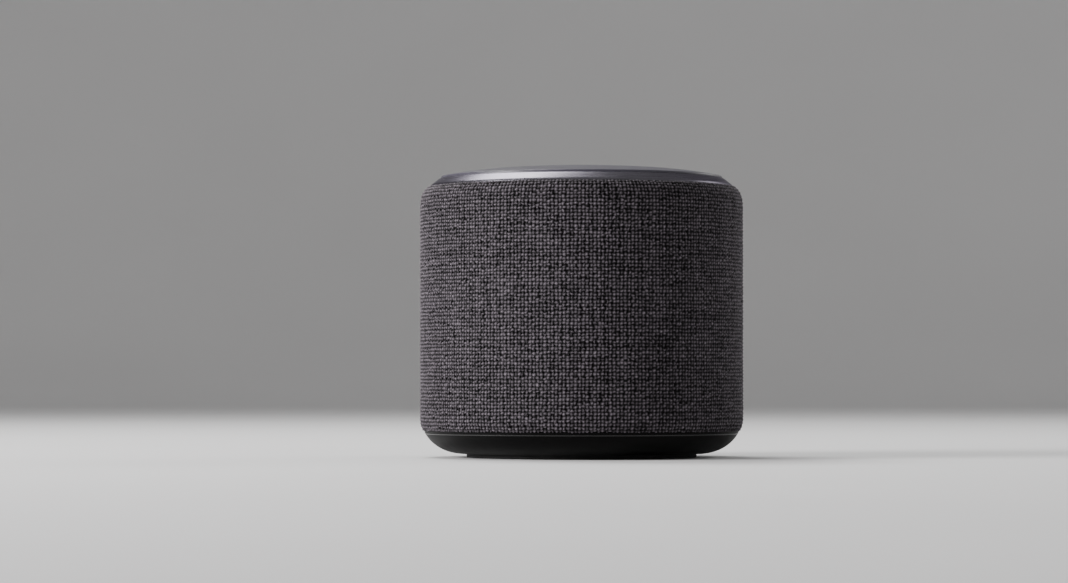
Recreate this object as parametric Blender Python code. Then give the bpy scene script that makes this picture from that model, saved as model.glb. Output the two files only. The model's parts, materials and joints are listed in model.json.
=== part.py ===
"""Round table-top smart speaker.

Metres, +Z up. The speaker stands on z = 0, its axis is the Z axis, its front faces -Y and its
sockets face +Y. Outlines and sizes are written in millimetres and turned into metres by MM.
"""

import math

import bmesh
import bpy

MM = 0.001

# Driving dimensions, in millimetres.
BODY_RADIUS = 60.0          # outside of the cloth
HEM_HEIGHT = 9.9            # lower edge of the cloth
BASE_RIM_HEIGHT = 8.9       # upper edge of the base, below the groove under the cloth
LOWER_CURVE_HEIGHT = 14.2   # where the rounded lower edge meets the straight side
LOWER_CURVE_RADIUS = 54.0   # where the rounded lower edge would meet the floor of its curve
LOWER_CURVE_DROP = 7.3      # height of the rounded lower edge's ellipse
SHOULDER_START = 92.5       # where the straight side meets the shoulder
SHOULDER_RADIUS = 4.5       # how far the shoulder comes in
SHOULDER_RISE = 7.7         # how far the shoulder rises
SHOULDER_POWER = 2.3        # 2 is an ellipse, more is squarer
CLOTH_THICKNESS = 1.2
GAP = 0.3                   # between pieces that touch
FOOT_HEIGHT = 1.4           # of the foot below the base
BASE_EDGE_RADIUS = 44.0     # where the base's underside starts to curve up
BASE_CURVE_REACH = 15.3     # how far the base's curve comes out from there
COVER_RADIUS = 52.2
DOME_RADIUS = 52.45         # where the cover's dome would come down to its rim height
COVER_RIM_HEIGHT = 104.0
COVER_DOME_RISE = 3.5
COVER_THICKNESS = 2.0
WELL_RADIUS = 25.5          # round opening in the top cover
KEY_CIRCLE = 14.0           # centres of the four keys
KEY_RADIUS = 5.5
KEY_FACE_HEIGHT = 106.9
POST_CIRCLE = 44.0          # posts between baffle, deflector and deck
BASE_SCREW_CIRCLE = 28.0
WOOFER_SCREW_CIRCLE = 37.6
SOCKET_HEIGHT = 22.0
POWER_SOCKET_X = -8.0
AUDIO_SOCKET_X = 8.0
BEZEL_SIZE = (36.0, 13.0)
BEZEL_CORNER = 4.0

# Sides of a turned piece.
FINE = 40
MEDIUM = 20
COARSE = 12
SMALL = 8


# Materials


def material(name, colour, roughness, metallic=0.0):
    made = bpy.data.materials.new(name)
    made.use_nodes = True
    shader = made.node_tree.nodes["Principled BSDF"]
    shader.inputs["Base Color"].default_value = (*colour, 1.0)
    shader.inputs["Roughness"].default_value = roughness
    shader.inputs["Metallic"].default_value = metallic
    return made


def make_materials():
    return {
        "cloth": material("charcoal_cloth", (0.075, 0.068, 0.075), 0.9),
        "base": material("black_plastic", (0.012, 0.012, 0.014), 0.35),
        "cover": material("dark_grey_plastic", (0.06, 0.057, 0.065), 0.45),
        "shell": material("inner_plastic", (0.03, 0.03, 0.032), 0.6),
        "ring": material("gunmetal", (0.12, 0.11, 0.13), 0.3, 0.9),
        "steel": material("steel", (0.5, 0.5, 0.5), 0.35, 1.0),
        "ferrite": material("ferrite", (0.05, 0.05, 0.055), 0.6, 0.2),
        "rubber": material("rubber", (0.02, 0.02, 0.02), 0.85),
        "paper": material("paper_cone", (0.03, 0.03, 0.03), 0.8),
        "board": material("circuit_board", (0.02, 0.09, 0.04), 0.4),
        "copper": material("copper", (0.6, 0.3, 0.15), 0.35, 1.0),
        "light": material("light_guide", (0.75, 0.76, 0.78), 0.3),
        "aluminium": material("aluminium", (0.6, 0.6, 0.62), 0.35, 1.0),
    }


# Shape helpers: outlines and sizes are in millimetres


def new_object(name, mesh, finish, place=(0.0, 0.0, 0.0)):
    bmesh.ops.recalc_face_normals(mesh, faces=mesh.faces)
    data = bpy.data.meshes.new(name)
    mesh.to_mesh(data)
    mesh.free()
    data.materials.append(finish)
    data.shade_smooth()
    data.set_sharp_from_angle(angle=math.radians(35))
    made = bpy.data.objects.new(name, data)
    made.location = [value * MM for value in place]
    bpy.context.scene.collection.objects.link(made)
    return made


def turned_rings(mesh, outline, segments):
    """One ring of points for each point of the outline, or one point where it meets the axis."""
    rings = []
    for radius, height in outline:
        if radius == 0:
            rings.append([mesh.verts.new((0, 0, height * MM))] * segments)
            continue
        ring = []
        for step in range(segments):
            angle = 2 * math.pi * step / segments
            ring.append(
                mesh.verts.new((radius * MM * math.cos(angle), radius * MM * math.sin(angle), height * MM))
            )
        rings.append(ring)
    return rings


def bridge(mesh, lower, upper, step):
    """The face between two rings at one step, which is a triangle where a ring is one point."""
    after = (step + 1) % len(lower)
    corners = []
    for corner in (lower[step], lower[after], upper[after], upper[step]):
        if corner not in corners:
            corners.append(corner)
    if len(corners) > 2:
        mesh.faces.new(corners)


def turned(name, outline, finish, segments=MEDIUM, place=(0.0, 0.0, 0.0)):
    """A closed outline of (radius, height) points turned about the Z axis through place."""
    mesh = bmesh.new()
    rings = turned_rings(mesh, outline, segments)
    for lower, upper in zip(rings, rings[1:] + rings[:1]):
        for step in range(segments):
            bridge(mesh, lower, upper, step)
    return new_object(name, mesh, finish, place)


def add_block(mesh, centre, size, turn=0.0):
    """A box turned about Z by an angle in radians."""
    made = bmesh.ops.create_cube(mesh, size=1.0)["verts"]
    for vert in made:
        x, y, z = (vert.co[axis] * size[axis] for axis in range(3))
        vert.co = (
            (centre[0] + x * math.cos(turn) - y * math.sin(turn)) * MM,
            (centre[1] + x * math.sin(turn) + y * math.cos(turn)) * MM,
            (centre[2] + z) * MM,
        )


def add_rod(mesh, place, radius, bottom, top, sides, along_y=False):
    """A rod from bottom to top, upright at (x, y), or along Y at (x, z)."""
    ends = []
    for height in (bottom, top):
        ring = []
        for step in range(sides):
            angle = 2 * math.pi * (step + 0.5) / sides
            across = place[0] + radius * math.cos(angle)
            over = place[1] + radius * math.sin(angle)
            point = (across, height, over) if along_y else (across, over, height)
            ring.append(mesh.verts.new([value * MM for value in point]))
        mesh.faces.new(ring)
        ends.append(ring)
    for step in range(sides):
        bridge(mesh, ends[0], ends[1], step)


def blocks(name, places, size, finish=None):
    """Equal boxes, one for each (x, y, z, turn)."""
    mesh = bmesh.new()
    for x, y, z, turn in places:
        add_block(mesh, (x, y, z), size, turn)
    return new_object(name, mesh, finish)


def rods(name, places, radius, bottom, top, sides=SMALL, finish=None, along_y=False):
    """Equal rods, one for each place."""
    mesh = bmesh.new()
    for place in places:
        add_rod(mesh, place, radius, bottom, top, sides, along_y)
    return new_object(name, mesh, finish)


def rounded_slab(name, centre, size, corner, front, back, finish=None):
    """A plate with round corners that stands across Y, from front to back."""
    corner_steps = 4
    outline = []
    for quarter in range(4):
        across = (size[0] / 2 - corner) * (1 if quarter in (0, 3) else -1)
        over = (size[1] / 2 - corner) * (1 if quarter in (0, 1) else -1)
        for step in range(corner_steps + 1):
            angle = math.pi / 2 * (quarter + step / corner_steps)
            outline.append(
                (
                    centre[0] + across + corner * math.cos(angle),
                    centre[1] + over + corner * math.sin(angle),
                )
            )
    mesh = bmesh.new()
    ends = []
    for depth in (front, back):
        ring = [mesh.verts.new((x * MM, depth * MM, z * MM)) for x, z in outline]
        mesh.faces.new(ring)
        ends.append(ring)
    for step in range(len(outline)):
        bridge(mesh, ends[0], ends[1], step)
    return new_object(name, mesh, finish)


def combine(target, tool, operation="DIFFERENCE"):
    """Cuts the tool from the target, or joins it on, and keeps the tool out of the model."""
    tool.hide_render = True
    tool.display_type = "WIRE"
    modifier = target.modifiers.new(tool.name, "BOOLEAN")
    modifier.operation = operation
    modifier.object = tool
    modifier.solver = "EXACT"


def around(radius, count, start=0.0):
    """Places spaced evenly on a circle, from an angle in degrees."""
    angles = [math.radians(start) + 2 * math.pi * step / count for step in range(count)]
    return [(radius * math.cos(angle), radius * math.sin(angle)) for angle in angles]


def around_turned(radius, count, height, start=0.0):
    """Places on a circle with the angle that turns a box to face outwards."""
    angles = [math.radians(start) + 2 * math.pi * step / count for step in range(count)]
    return [(radius * math.cos(a), radius * math.sin(a), height, a) for a in angles]


# Outlines that several pieces share


def lower_curve(inset, heights):
    """Points on the rounded lower edge of the side, moved in by inset."""
    points = []
    for height in heights:
        drop = (LOWER_CURVE_HEIGHT - height) / (LOWER_CURVE_DROP - inset)
        reach = BODY_RADIUS - LOWER_CURVE_RADIUS - inset
        points.append((LOWER_CURVE_RADIUS + reach * math.sqrt(1 - drop * drop), height))
    return points


def shoulder_curve(inset, steps):
    """Points on the shoulder from the straight side to the crest, moved in by inset."""
    points = []
    for step in range(steps + 1):
        angle = math.pi / 2 * step / steps
        reach = math.cos(angle) ** (2 / SHOULDER_POWER)
        rise = math.sin(angle) ** (2 / SHOULDER_POWER)
        points.append(
            (
                BODY_RADIUS - SHOULDER_RADIUS + (SHOULDER_RADIUS - inset) * reach,
                SHOULDER_START + (SHOULDER_RISE - inset) * rise,
            )
        )
    return points


def base_curve(heights):
    """Points on the outside of the base, from its underside to its rim."""
    points = []
    for height in heights:
        drop = (LOWER_CURVE_HEIGHT - height) / (LOWER_CURVE_HEIGHT - FOOT_HEIGHT)
        points.append((BASE_EDGE_RADIUS + BASE_CURVE_REACH * math.sqrt(1 - drop * drop), height))
    return points


def dome_height(radius):
    return COVER_RIM_HEIGHT + COVER_DOME_RISE * (1 - (radius / DOME_RADIUS) ** 3)


def cap_arc(radius, edge, apex, steps):
    """A shallow dome's outline from its edge to the axis."""
    points = []
    for step in range(steps + 1):
        share = 1 - step / steps
        points.append((radius * share, apex - (apex - edge) * share * share))
    return points


# Outside pieces


def make_rubber_foot(finish):
    outline = [(42.6, 3.3), (42.6, 0.4), (42.2, 0), (35.0, 0), (35.0, 3.3)]
    turned("rubber_foot", outline, finish["rubber"], FINE)


def make_base_cover(finish):
    floor_top = 4.9
    outside = base_curve([BASE_RIM_HEIGHT, 6.8, 5.0, 3.0, 1.9, FOOT_HEIGHT])
    foot_groove = [(42.9, FOOT_HEIGHT), (42.9, 3.6), (34.7, 3.6), (34.7, FOOT_HEIGHT), (0, FOOT_HEIGHT)]
    inside = [(0, floor_top), (49.0, floor_top), (53.0, 7.0), (55.2, 11.5), (56.4, 13.9)]
    lip = [(58.4, 13.9), (58.1, 12.0), (57.1, 10.3), (56.9, 9.6)]
    groove = [(58.1, 9.6), (57.6, BASE_RIM_HEIGHT)]
    cover = turned("base_cover", outside + foot_groove + inside + lip + groove, finish["base"], FINE)
    screws = around(BASE_SCREW_CIRCLE, 4, 45)
    combine(cover, rods("base_standoffs", around(41.0, 4), 2.2, floor_top - 1, 7.7), "UNION")
    combine(cover, rods("base_counterbores", screws, 3.2, FOOT_HEIGHT - 1, 3.0))
    combine(cover, rods("base_screw_holes", screws, 1.8, 2.0, floor_top + 1))


def make_fabric_sleeve(finish):
    edge_heights = [HEM_HEIGHT, 11.6, LOWER_CURVE_HEIGHT]
    outside = lower_curve(0.0, edge_heights) + shoulder_curve(0.0, 4)
    inside = lower_curve(CLOTH_THICKNESS, edge_heights) + shoulder_curve(CLOTH_THICKNESS, 3)
    sleeve = turned("fabric_sleeve", outside + inside[::-1], finish["cloth"], FINE)
    width, height = (side + 2 * GAP for side in BEZEL_SIZE)
    opening = rounded_slab(
        "sleeve_opening", (0, SOCKET_HEIGHT), (width, height), BEZEL_CORNER + GAP, 50.0, 70.0
    )
    combine(sleeve, opening)


def make_grille_shell(finish):
    """The perforated shell that the cloth is stretched over: a skin with slots, thickened inwards."""
    wall = 2.0
    inset = CLOTH_THICKNESS + GAP
    columns = FINE
    columns_per_slot = 4
    straight_side = BODY_RADIUS - inset
    rows = [(straight_side, height) for height in (14.3, 31.0, 58.0, 62.0, 90.0)]
    slotted_rows = (1, 3)
    rows += shoulder_curve(inset, 3)[:-1]
    mesh = bmesh.new()
    rings = turned_rings(mesh, rows, columns)
    for row, (lower, upper) in enumerate(zip(rings, rings[1:])):
        for step in range(columns):
            if row in slotted_rows and step % columns_per_slot:
                continue
            bridge(mesh, lower, upper, step)
    shell = new_object("grille_shell", mesh, finish["shell"])
    thicken = shell.modifiers.new("wall", "SOLIDIFY")
    thicken.thickness = wall * MM
    thicken.offset = -1.0
    thicken.use_even_offset = True
    combine(shell, blocks("grille_opening", [(0, 57.0, 20.0, 0)], (38.0, 12.0, 18.0)))


def make_top_ring(finish):
    bevel = [(56.1, 100.5), (55.8, 100.9), (53.2, 102.95), (52.8, 103.2), (52.5, 103.05)]
    ledge = [(52.5, 101.7), (50.0, 101.7), (50.0, 100.2), (52.5, 100.2)]
    skirt = [(52.5, 98.2), (55.0, 98.2), (55.0, 100.5)]
    turned("top_ring", bevel + ledge + skirt, finish["ring"], FINE)


def make_top_cover(finish):
    outside = [(radius, dome_height(radius)) for radius in (WELL_RADIUS, 34.0, 43.0, 51.6)]
    rim = [(COVER_RADIUS, 103.8), (COVER_RADIUS, 102.0)]
    inside = [(radius, dome_height(radius) - COVER_THICKNESS) for radius in (43.0, 34.0, 27.3)]
    lip = [(27.3, 103.4), (WELL_RADIUS, 103.4)]
    cover = turned("top_cover", outside + rim + inside + lip, finish["cover"], FINE)
    combine(cover, rods("microphone_holes", around(35.0, 4, 45), 0.7, 100.0, 110.0, 8))


def make_control_panel(finish):
    outline = [(0, 106.5), (22.9, 106.5), (22.9, 103.3), (21.4, 103.3), (21.4, 104.9), (0, 104.9)]
    panel = turned("control_panel", outline, finish["cover"], MEDIUM)
    combine(panel, rods("key_holes", around(KEY_CIRCLE, 4), KEY_RADIUS + GAP, 100.0, 110.0, COARSE))


def make_light_guide(finish):
    outline = [(25.2, 106.8), (23.2, 106.9), (23.2, 102.7), (27.0, 102.7), (27.0, 103.1), (25.2, 103.1)]
    turned("light_guide", outline, finish["light"], MEDIUM)


def make_keys(finish):
    """Each key has its origin on the line that it slides along."""
    cap = [(0, 106.7), (3.5, 106.75), (5.1, KEY_FACE_HEIGHT), (KEY_RADIUS, 106.6), (KEY_RADIUS, 104.6)]
    flange_and_stem = [(6.4, 104.6), (6.4, 103.9), (1.6, 103.9), (1.6, 103.4), (0, 103.4)]
    switch = [(0, 103.0), (1.1, 103.0), (1.1, 102.5), (2.4, 102.5), (2.4, 101.5), (0, 101.5)]
    names = ("volume_up", "mic_mute", "volume_down", "action")
    for name, (x, y) in zip(names, around(KEY_CIRCLE, 4)):
        turned(f"key_{name}", cap + flange_and_stem, finish["cover"], COARSE, (x, y, 0))
        turned(f"switch_{name}", switch, finish["steel"], 8, (x, y, 0))


# Sockets at the back


def make_rear_bezel(finish):
    bezel = rounded_slab(
        "rear_bezel", (0, SOCKET_HEIGHT), BEZEL_SIZE, BEZEL_CORNER, 50.0, 66.0, finish["base"]
    )
    outline = [(57.3, 10.0), (BODY_RADIUS, 10.0), (BODY_RADIUS, 35.0), (57.3, 35.0)]
    combine(bezel, turned("bezel_curve", outline, None, FINE), "INTERSECT")
    power = [(POWER_SOCKET_X, SOCKET_HEIGHT)]
    audio = [(AUDIO_SOCKET_X, SOCKET_HEIGHT)]
    combine(bezel, rods("power_mouth", power, 3.6, 40.0, 70.0, 16, along_y=True))
    combine(bezel, rods("audio_mouth", audio, 3.0, 40.0, 70.0, 16, along_y=True))


def make_sockets(finish):
    back, face = 44.6, 55.2
    middle = (back + face) / 2
    power_place = [(POWER_SOCKET_X, SOCKET_HEIGHT)]
    power = blocks(
        "power_jack", [(POWER_SOCKET_X, middle, SOCKET_HEIGHT, 0)], (11.0, face - back, 10.0), finish["base"]
    )
    combine(power, rods("power_bore", power_place, 3.1, 46.0, 60.0, 16, along_y=True))
    combine(power, rods("power_pin", power_place, 1.0, 45.5, 53.0, 8, along_y=True), "UNION")
    audio = blocks(
        "audio_jack", [(AUDIO_SOCKET_X, middle, SOCKET_HEIGHT, 0)], (7.0, face - back, 7.0), finish["base"]
    )
    audio_place = [(AUDIO_SOCKET_X, SOCKET_HEIGHT)]
    combine(audio, rods("audio_bore", audio_place, 1.9, 46.0, 60.0, SMALL, along_y=True))
    blocks("jack_board", [(0, 43.5, 20.5, 0)], (40.0, 1.6, 19.0), finish["board"])


# Electronics


def make_main_board(finish):
    outline = [(0, 9.6), (46.0, 9.6), (46.0, 8.0), (0, 8.0)]
    board = turned("main_board", outline, finish["board"])
    combine(board, rods("board_holes", around(BASE_SCREW_CIRCLE, 4, 45), 3.8, 7.0, 11.0))
    blocks("shield_can", [(0, -6, 11.2, 0)], (22.0, 18.0, 2.6), finish["steel"])
    rods("capacitor", [(32.0, 4.0)], 4.0, 9.9, 15.9, 16, finish["base"])
    sink = blocks("heat_sink", [(-27.0, 0, 10.9, 0)], (14.0, 20.0, 2.0), finish["aluminium"])
    fins = [(-27.0 + 3.2 * step, 0, 13.2, 0) for step in (-2, -1, 0, 1, 2)]
    combine(sink, blocks("heat_sink_fins", fins, (1.0, 20.0, 4.6)), "UNION")


def make_top_board(finish):
    outline = [(0, 101.2), (38.0, 101.2), (38.0, 99.6), (0, 99.6)]
    board = turned("top_board", outline, finish["board"])
    lamps = around_turned(24.2, 12, 101.55, 15)
    combine(board, blocks("lamps", lamps, (1.6, 2.2, 1.1)), "UNION")
    microphones = around_turned(35.0, 4, 101.5, 45)
    combine(board, blocks("microphones", microphones, (2.6, 3.4, 1.2)), "UNION")


def make_ribbon_cable(finish):
    """A flat cable from the main board up the side of the chassis to the top board."""
    width = 12.0
    outside = [(-38.0, 10.2), (-50.8, 10.2), (-51.4, 10.8), (-51.4, 98.3), (-50.8, 98.9), (-27.0, 98.9)]
    inside = [(-27.0, 98.5), (-50.6, 98.5), (-51.0, 98.1), (-51.0, 11.0), (-50.6, 10.6), (-38.0, 10.6)]
    mesh = bmesh.new()
    near = [mesh.verts.new((x * MM, -width / 2 * MM, z * MM)) for x, z in outside + inside]
    far = [mesh.verts.new((x * MM, width / 2 * MM, z * MM)) for x, z in outside + inside]
    count = len(outside)
    for step in range(2 * count):
        bridge(mesh, near, far, step)
    for step in range(count - 1):
        partner = 2 * count - 1 - step
        for side in (near, far):
            mesh.faces.new([side[step], side[step + 1], side[partner - 1], side[partner]])
    new_object("ribbon_cable", mesh, finish["light"])


# Chassis


def make_enclosure(finish):
    outside = [(50.0, 55.2), (50.0, 34.0), (40.0, 30.0), (40.0, 16.5), (0, 16.5)]
    inside = [(0, 19.0), (37.5, 19.0), (37.5, 31.7), (47.5, 35.7), (47.5, 55.2)]
    tub = turned("enclosure_tub", outside + inside, finish["shell"])
    screws = around(BASE_SCREW_CIRCLE, 4, 45)
    combine(tub, rods("tub_bosses", screws, 3.4, 5.2, 17.5), "UNION")
    combine(tub, rods("tub_screw_holes", screws, 1.7, 4.0, 12.5))
    outline = [(50.0, 58.2), (50.0, 55.5), (35.6, 55.5), (35.6, 58.2)]
    baffle = turned("baffle_plate", outline, finish["shell"])
    places = around(WOOFER_SCREW_CIRCLE, 4, 45)
    combine(baffle, rods("baffle_screw_holes", places, 1.3, 50.0, 62.0, 8))


def make_deflector(finish):
    """The cone above the woofer that turns its sound outwards, with a cup for the tweeter."""
    underside = [(0, 66.5), (8.0, 67.9), (18.0, 70.3), (30.0, 74.3), (42.0, 78.3), (47.5, 78.6)]
    top = [(47.5, 81.0), (14.5, 81.0), (14.5, 73.2), (0, 73.2)]
    deflector = turned("deflector", underside + top, finish["shell"])
    posts = around(POST_CIRCLE, 4)
    combine(deflector, rods("deflector_posts", posts, 3.0, 58.5, 80.0), "UNION")
    combine(deflector, rods("deflector_screw_holes", posts, 1.7, 65.5, 83.0))


def make_top_deck(finish):
    top = [(0, 97.9), (55.0, 97.9), (55.0, 95.2)]
    underside = [(24.0, 95.2), (12.0, 92.3), (5.0, 89.9), (0, 88.6)]
    deck = turned("top_deck", top + underside, finish["shell"])
    posts = around(POST_CIRCLE, 4)
    combine(deck, rods("deck_posts", posts, 3.0, 81.3, 96.0), "UNION")
    combine(deck, rods("board_bosses", around(33.0, 3, 30), 2.5, 97.0, 99.3), "UNION")
    combine(deck, rods("deck_screw_holes", posts, 1.7, 80.0, 99.0))
    combine(deck, rods("deck_counterbores", posts, 3.2, 96.4, 99.0))
    combine(deck, blocks("ribbon_slot", [(-51.3, 0, 96.0, 0)], (2.2, 13.0, 8.0)))


# Woofer, firing upwards


def make_woofer_frame(finish):
    outside = [(39.8, 60.0), (39.8, 58.5), (35.2, 58.5), (23.5, 42.5), (23.5, 40.0), (12.6, 40.0)]
    inside = [(12.6, 41.4), (18.5, 41.4), (18.5, 43.6), (22.0, 43.6), (33.3, 59.0), (33.3, 60.0)]
    basket = turned("woofer_basket", outside + inside, finish["steel"])
    combine(basket, blocks("basket_windows", around_turned(30.0, 6, 51.5, 30), (18.0, 13.0, 9.6)))
    places = around(WOOFER_SCREW_CIRCLE, 4, 45)
    combine(basket, rods("flange_screw_holes", places, 1.3, 55.0, 65.0, 8))
    turned("woofer_gasket", [(35.2, 62.0), (35.2, 61.2), (33.0, 61.2), (33.0, 62.0)], finish["rubber"])


def make_woofer_motor(finish):
    front_plate = [(22.0, 39.7), (22.0, 36.5), (11.5, 36.5), (11.5, 39.7)]
    turned("woofer_front_plate", front_plate, finish["steel"])
    turned("woofer_magnet", [(25.0, 36.2), (25.0, 26.5), (14.0, 26.5), (14.0, 36.2)], finish["ferrite"])
    yoke = [(0, 39.7), (9.4, 39.7), (9.4, 26.2), (22.0, 26.2), (22.0, 22.5), (0, 22.5)]
    turned("woofer_yoke", yoke, finish["steel"])


def roll(inner, outer, base, height, thickness, steps):
    """A half-round roll between two radii, as the outline of a thin skin with flat lips."""
    middle = (inner + outer) / 2
    reach = (outer - inner) / 2
    top = []
    under = []
    for step in range(steps + 1):
        angle = math.pi * step / steps
        top.append((middle - reach * math.cos(angle), base + thickness + height * math.sin(angle)))
        under.append((middle - (reach - thickness) * math.cos(angle), base + height * math.sin(angle)))
    return top, under


def make_woofer_moving_parts(finish):
    """Cone, dust cap and voice coil move together; surround and spider flex. The spider's inner edge
    lies low enough to clear the cone at the bottom of its stroke."""
    cone_outside = [(27.3, 60.0), (27.3, 59.2), (25.0, 58.6), (11.3, 46.6), (10.75, 46.6)]
    cone_inside = [(10.75, 47.8), (24.4, 59.6), (26.0, 60.0)]
    turned("woofer_cone", cone_outside + cone_inside, finish["paper"])
    cap = cap_arc(12.9, 50.0, 54.6, 3) + cap_arc(12.3, 50.0, 54.0, 3)[::-1]
    turned("woofer_dust_cap", cap, finish["paper"])
    former = [(10.4, 48.7), (10.0, 48.7), (10.0, 30.5), (10.9, 30.5), (10.9, 39.5), (10.4, 39.5)]
    turned("woofer_voice_coil", former, finish["copper"])
    top, under = roll(27.5, 32.5, 60.3, 2.5, 0.6, 4)
    lips_top = [(25.5, 60.9)] + top + [(35.2, 60.9)]
    lips_under = [(25.5, 60.3)] + under + [(35.2, 60.3)]
    turned("woofer_surround", lips_top + lips_under[::-1], finish["rubber"])
    wave_top = [(11.0, 43.3)]
    wave_under = [(11.0, 42.8)]
    for crest in range(4):
        lift = 0.9 if crest % 2 else -0.5
        wave_top.append((12.6 + 1.6 * crest, 44.4 + lift))
        wave_under.append((12.6 + 1.6 * crest, 43.9 + lift))
    wave_top.append((21.5, 44.4))
    wave_under.append((21.5, 43.9))
    turned("woofer_spider", wave_top + wave_under[::-1], finish["paper"])


# Tweeter, firing upwards


def make_tweeter(finish):
    faceplate = [(19.0, 82.6), (19.0, 81.3), (13.2, 81.3), (13.2, 82.4), (17.5, 83.0)]
    turned("tweeter_faceplate", faceplate, finish["shell"])
    cup = [(13.4, 73.5), (13.4, 80.9), (11.6, 80.9), (11.6, 75.5), (0, 75.5), (0, 73.5)]
    turned("tweeter_yoke", cup, finish["steel"], COARSE)
    turned("tweeter_magnet", [(0, 77.8), (8.0, 77.8), (8.0, 75.8), (0, 75.8)], finish["ferrite"], COARSE)
    turned("tweeter_pole", [(0, 80.4), (8.6, 80.4), (8.6, 78.1), (0, 78.1)], finish["steel"], COARSE)
    outside = [(9.9, 78.6)] + cap_arc(9.9, 81.8, 85.0, 3)
    inside = cap_arc(9.4, 81.6, 84.5, 3)[::-1] + [(9.4, 78.6)]
    turned("tweeter_dome", outside + inside, finish["paper"], MEDIUM)
    top, under = roll(10.7, 12.4, 81.5, 0.6, 0.3, 2)
    lips_top = [(10.2, 81.8)] + top + [(12.9, 81.8)]
    lips_under = [(10.2, 81.5)] + under + [(12.9, 81.5)]
    turned("tweeter_surround", lips_top + lips_under[::-1], finish["rubber"], MEDIUM)


# Screws


def make_screws(name, places, head_top, head_height, head_radius, tip, shaft_radius, finish):
    """Upright screws whose heads are at the top, or below the tip if head_height is negative."""
    head_base = head_top - head_height
    outline = [
        (0, head_top),
        (head_radius, head_top),
        (head_radius, head_base),
        (shaft_radius, head_base),
        (shaft_radius, tip),
        (0, tip),
    ]
    for number, (x, y) in enumerate(places, 1):
        turned(f"{name}_{number}", outline, finish, 10, (x, y, 0))


def make_all_screws(finish):
    steel = finish["steel"]
    make_screws("base_screw", around(BASE_SCREW_CIRCLE, 4, 45), 1.6, -1.1, 2.8, 12.0, 1.4, steel)
    make_screws("woofer_screw", around(WOOFER_SCREW_CIRCLE, 4, 45), 61.3, 1.0, 1.9, 56.5, 1.0, steel)
    make_screws("deck_screw", around(POST_CIRCLE, 4), 97.7, 1.0, 2.8, 66.0, 1.4, steel)


def main():
    for item in list(bpy.data.objects):
        bpy.data.objects.remove(item, do_unlink=True)
    finish = make_materials()
    make_rubber_foot(finish)
    make_base_cover(finish)
    make_fabric_sleeve(finish)
    make_grille_shell(finish)
    make_top_ring(finish)
    make_top_cover(finish)
    make_control_panel(finish)
    make_light_guide(finish)
    make_keys(finish)
    make_rear_bezel(finish)
    make_sockets(finish)
    make_main_board(finish)
    make_top_board(finish)
    make_ribbon_cable(finish)
    make_enclosure(finish)
    make_deflector(finish)
    make_top_deck(finish)
    make_woofer_frame(finish)
    make_woofer_motor(finish)
    make_woofer_moving_parts(finish)
    make_tweeter(finish)
    make_all_screws(finish)


main()
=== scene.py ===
"""The looks of a round table-top smart speaker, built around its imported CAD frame.

Metres, +Z up, front towards -Y. Outlines are written in millimetres and turned into metres by MM.
"""

import json
import math

import bmesh
import bpy
import numpy as np
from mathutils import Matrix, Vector


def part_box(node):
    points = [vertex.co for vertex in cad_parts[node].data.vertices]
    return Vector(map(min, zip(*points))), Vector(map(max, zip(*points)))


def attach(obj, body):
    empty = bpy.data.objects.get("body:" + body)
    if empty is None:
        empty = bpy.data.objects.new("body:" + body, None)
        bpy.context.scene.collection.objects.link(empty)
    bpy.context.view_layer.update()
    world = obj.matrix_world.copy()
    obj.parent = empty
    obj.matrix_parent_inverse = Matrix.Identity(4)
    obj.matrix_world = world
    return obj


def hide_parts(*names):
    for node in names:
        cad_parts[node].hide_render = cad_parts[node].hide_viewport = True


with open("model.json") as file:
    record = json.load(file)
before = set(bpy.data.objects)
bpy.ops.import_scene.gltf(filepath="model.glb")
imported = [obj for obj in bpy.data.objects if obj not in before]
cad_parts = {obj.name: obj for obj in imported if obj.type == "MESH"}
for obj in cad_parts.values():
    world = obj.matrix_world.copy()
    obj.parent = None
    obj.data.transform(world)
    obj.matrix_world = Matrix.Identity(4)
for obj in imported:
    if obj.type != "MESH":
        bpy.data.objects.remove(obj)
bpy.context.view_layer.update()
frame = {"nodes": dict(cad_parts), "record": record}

MM = 0.001
TURN = 2 * math.pi
CABINET = "cabinet"
dice = np.random.RandomState(11)

# Sizes in millimetres.
BODY_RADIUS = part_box("fabric_sleeve")[1].x / MM
HEM_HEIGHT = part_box("fabric_sleeve")[0].z / MM
CREST_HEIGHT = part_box("fabric_sleeve")[1].z / MM
LOWER_CURVE_HEIGHT = 14.2
LOWER_CURVE_RADIUS = 54.0
LOWER_CURVE_DROP = 7.3
SHOULDER_START = 92.5
SHOULDER_RADIUS = 4.5
SHOULDER_POWER = 2.3  # 2 would make the shoulder an ellipse
BASE_RIM_HEIGHT = 8.9
BASE_EDGE_RADIUS = 44.0
BASE_CURVE_REACH = 15.3
FOOT_HEIGHT = 1.4
FOOT_INNER_RADIUS = 35.0
FOOT_OUTER_RADIUS = 42.6
SEAM_RADIUS = 57.3
SCREW_CIRCLE = 28.0
COVER_RADIUS = 52.2
COVER_RIM_HEIGHT = 104.0
COVER_DOME_RISE = 3.5
COVER_THICKNESS = 2.0
DOME_RADIUS = 52.45
MICROPHONE_CIRCLE = 35.0
WELL_RADIUS = 25.5
PANEL_TOP = 106.5
PANEL_UNDERSIDE = 104.9
KEY_CIRCLE = 14.0
KEY_RADIUS = 5.5
KEY_FACE_HEIGHT = 106.7
KEY_DISH_RADIUS = 4.8
KEY_DISH_DEPTH = 0.17
MARK_WIDTH = 0.42
MARK_LIFT = 0.03
MARK_SINK = 0.1
KEY_PLACES = {
    "volume_up": (KEY_CIRCLE, 0.0),
    "mic_mute": (0.0, KEY_CIRCLE),
    "volume_down": (-KEY_CIRCLE, 0.0),
    "action": (0.0, -KEY_CIRCLE),
}
SOCKET_HEIGHT = 22.0
SOCKET_BACK = 44.6
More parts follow.
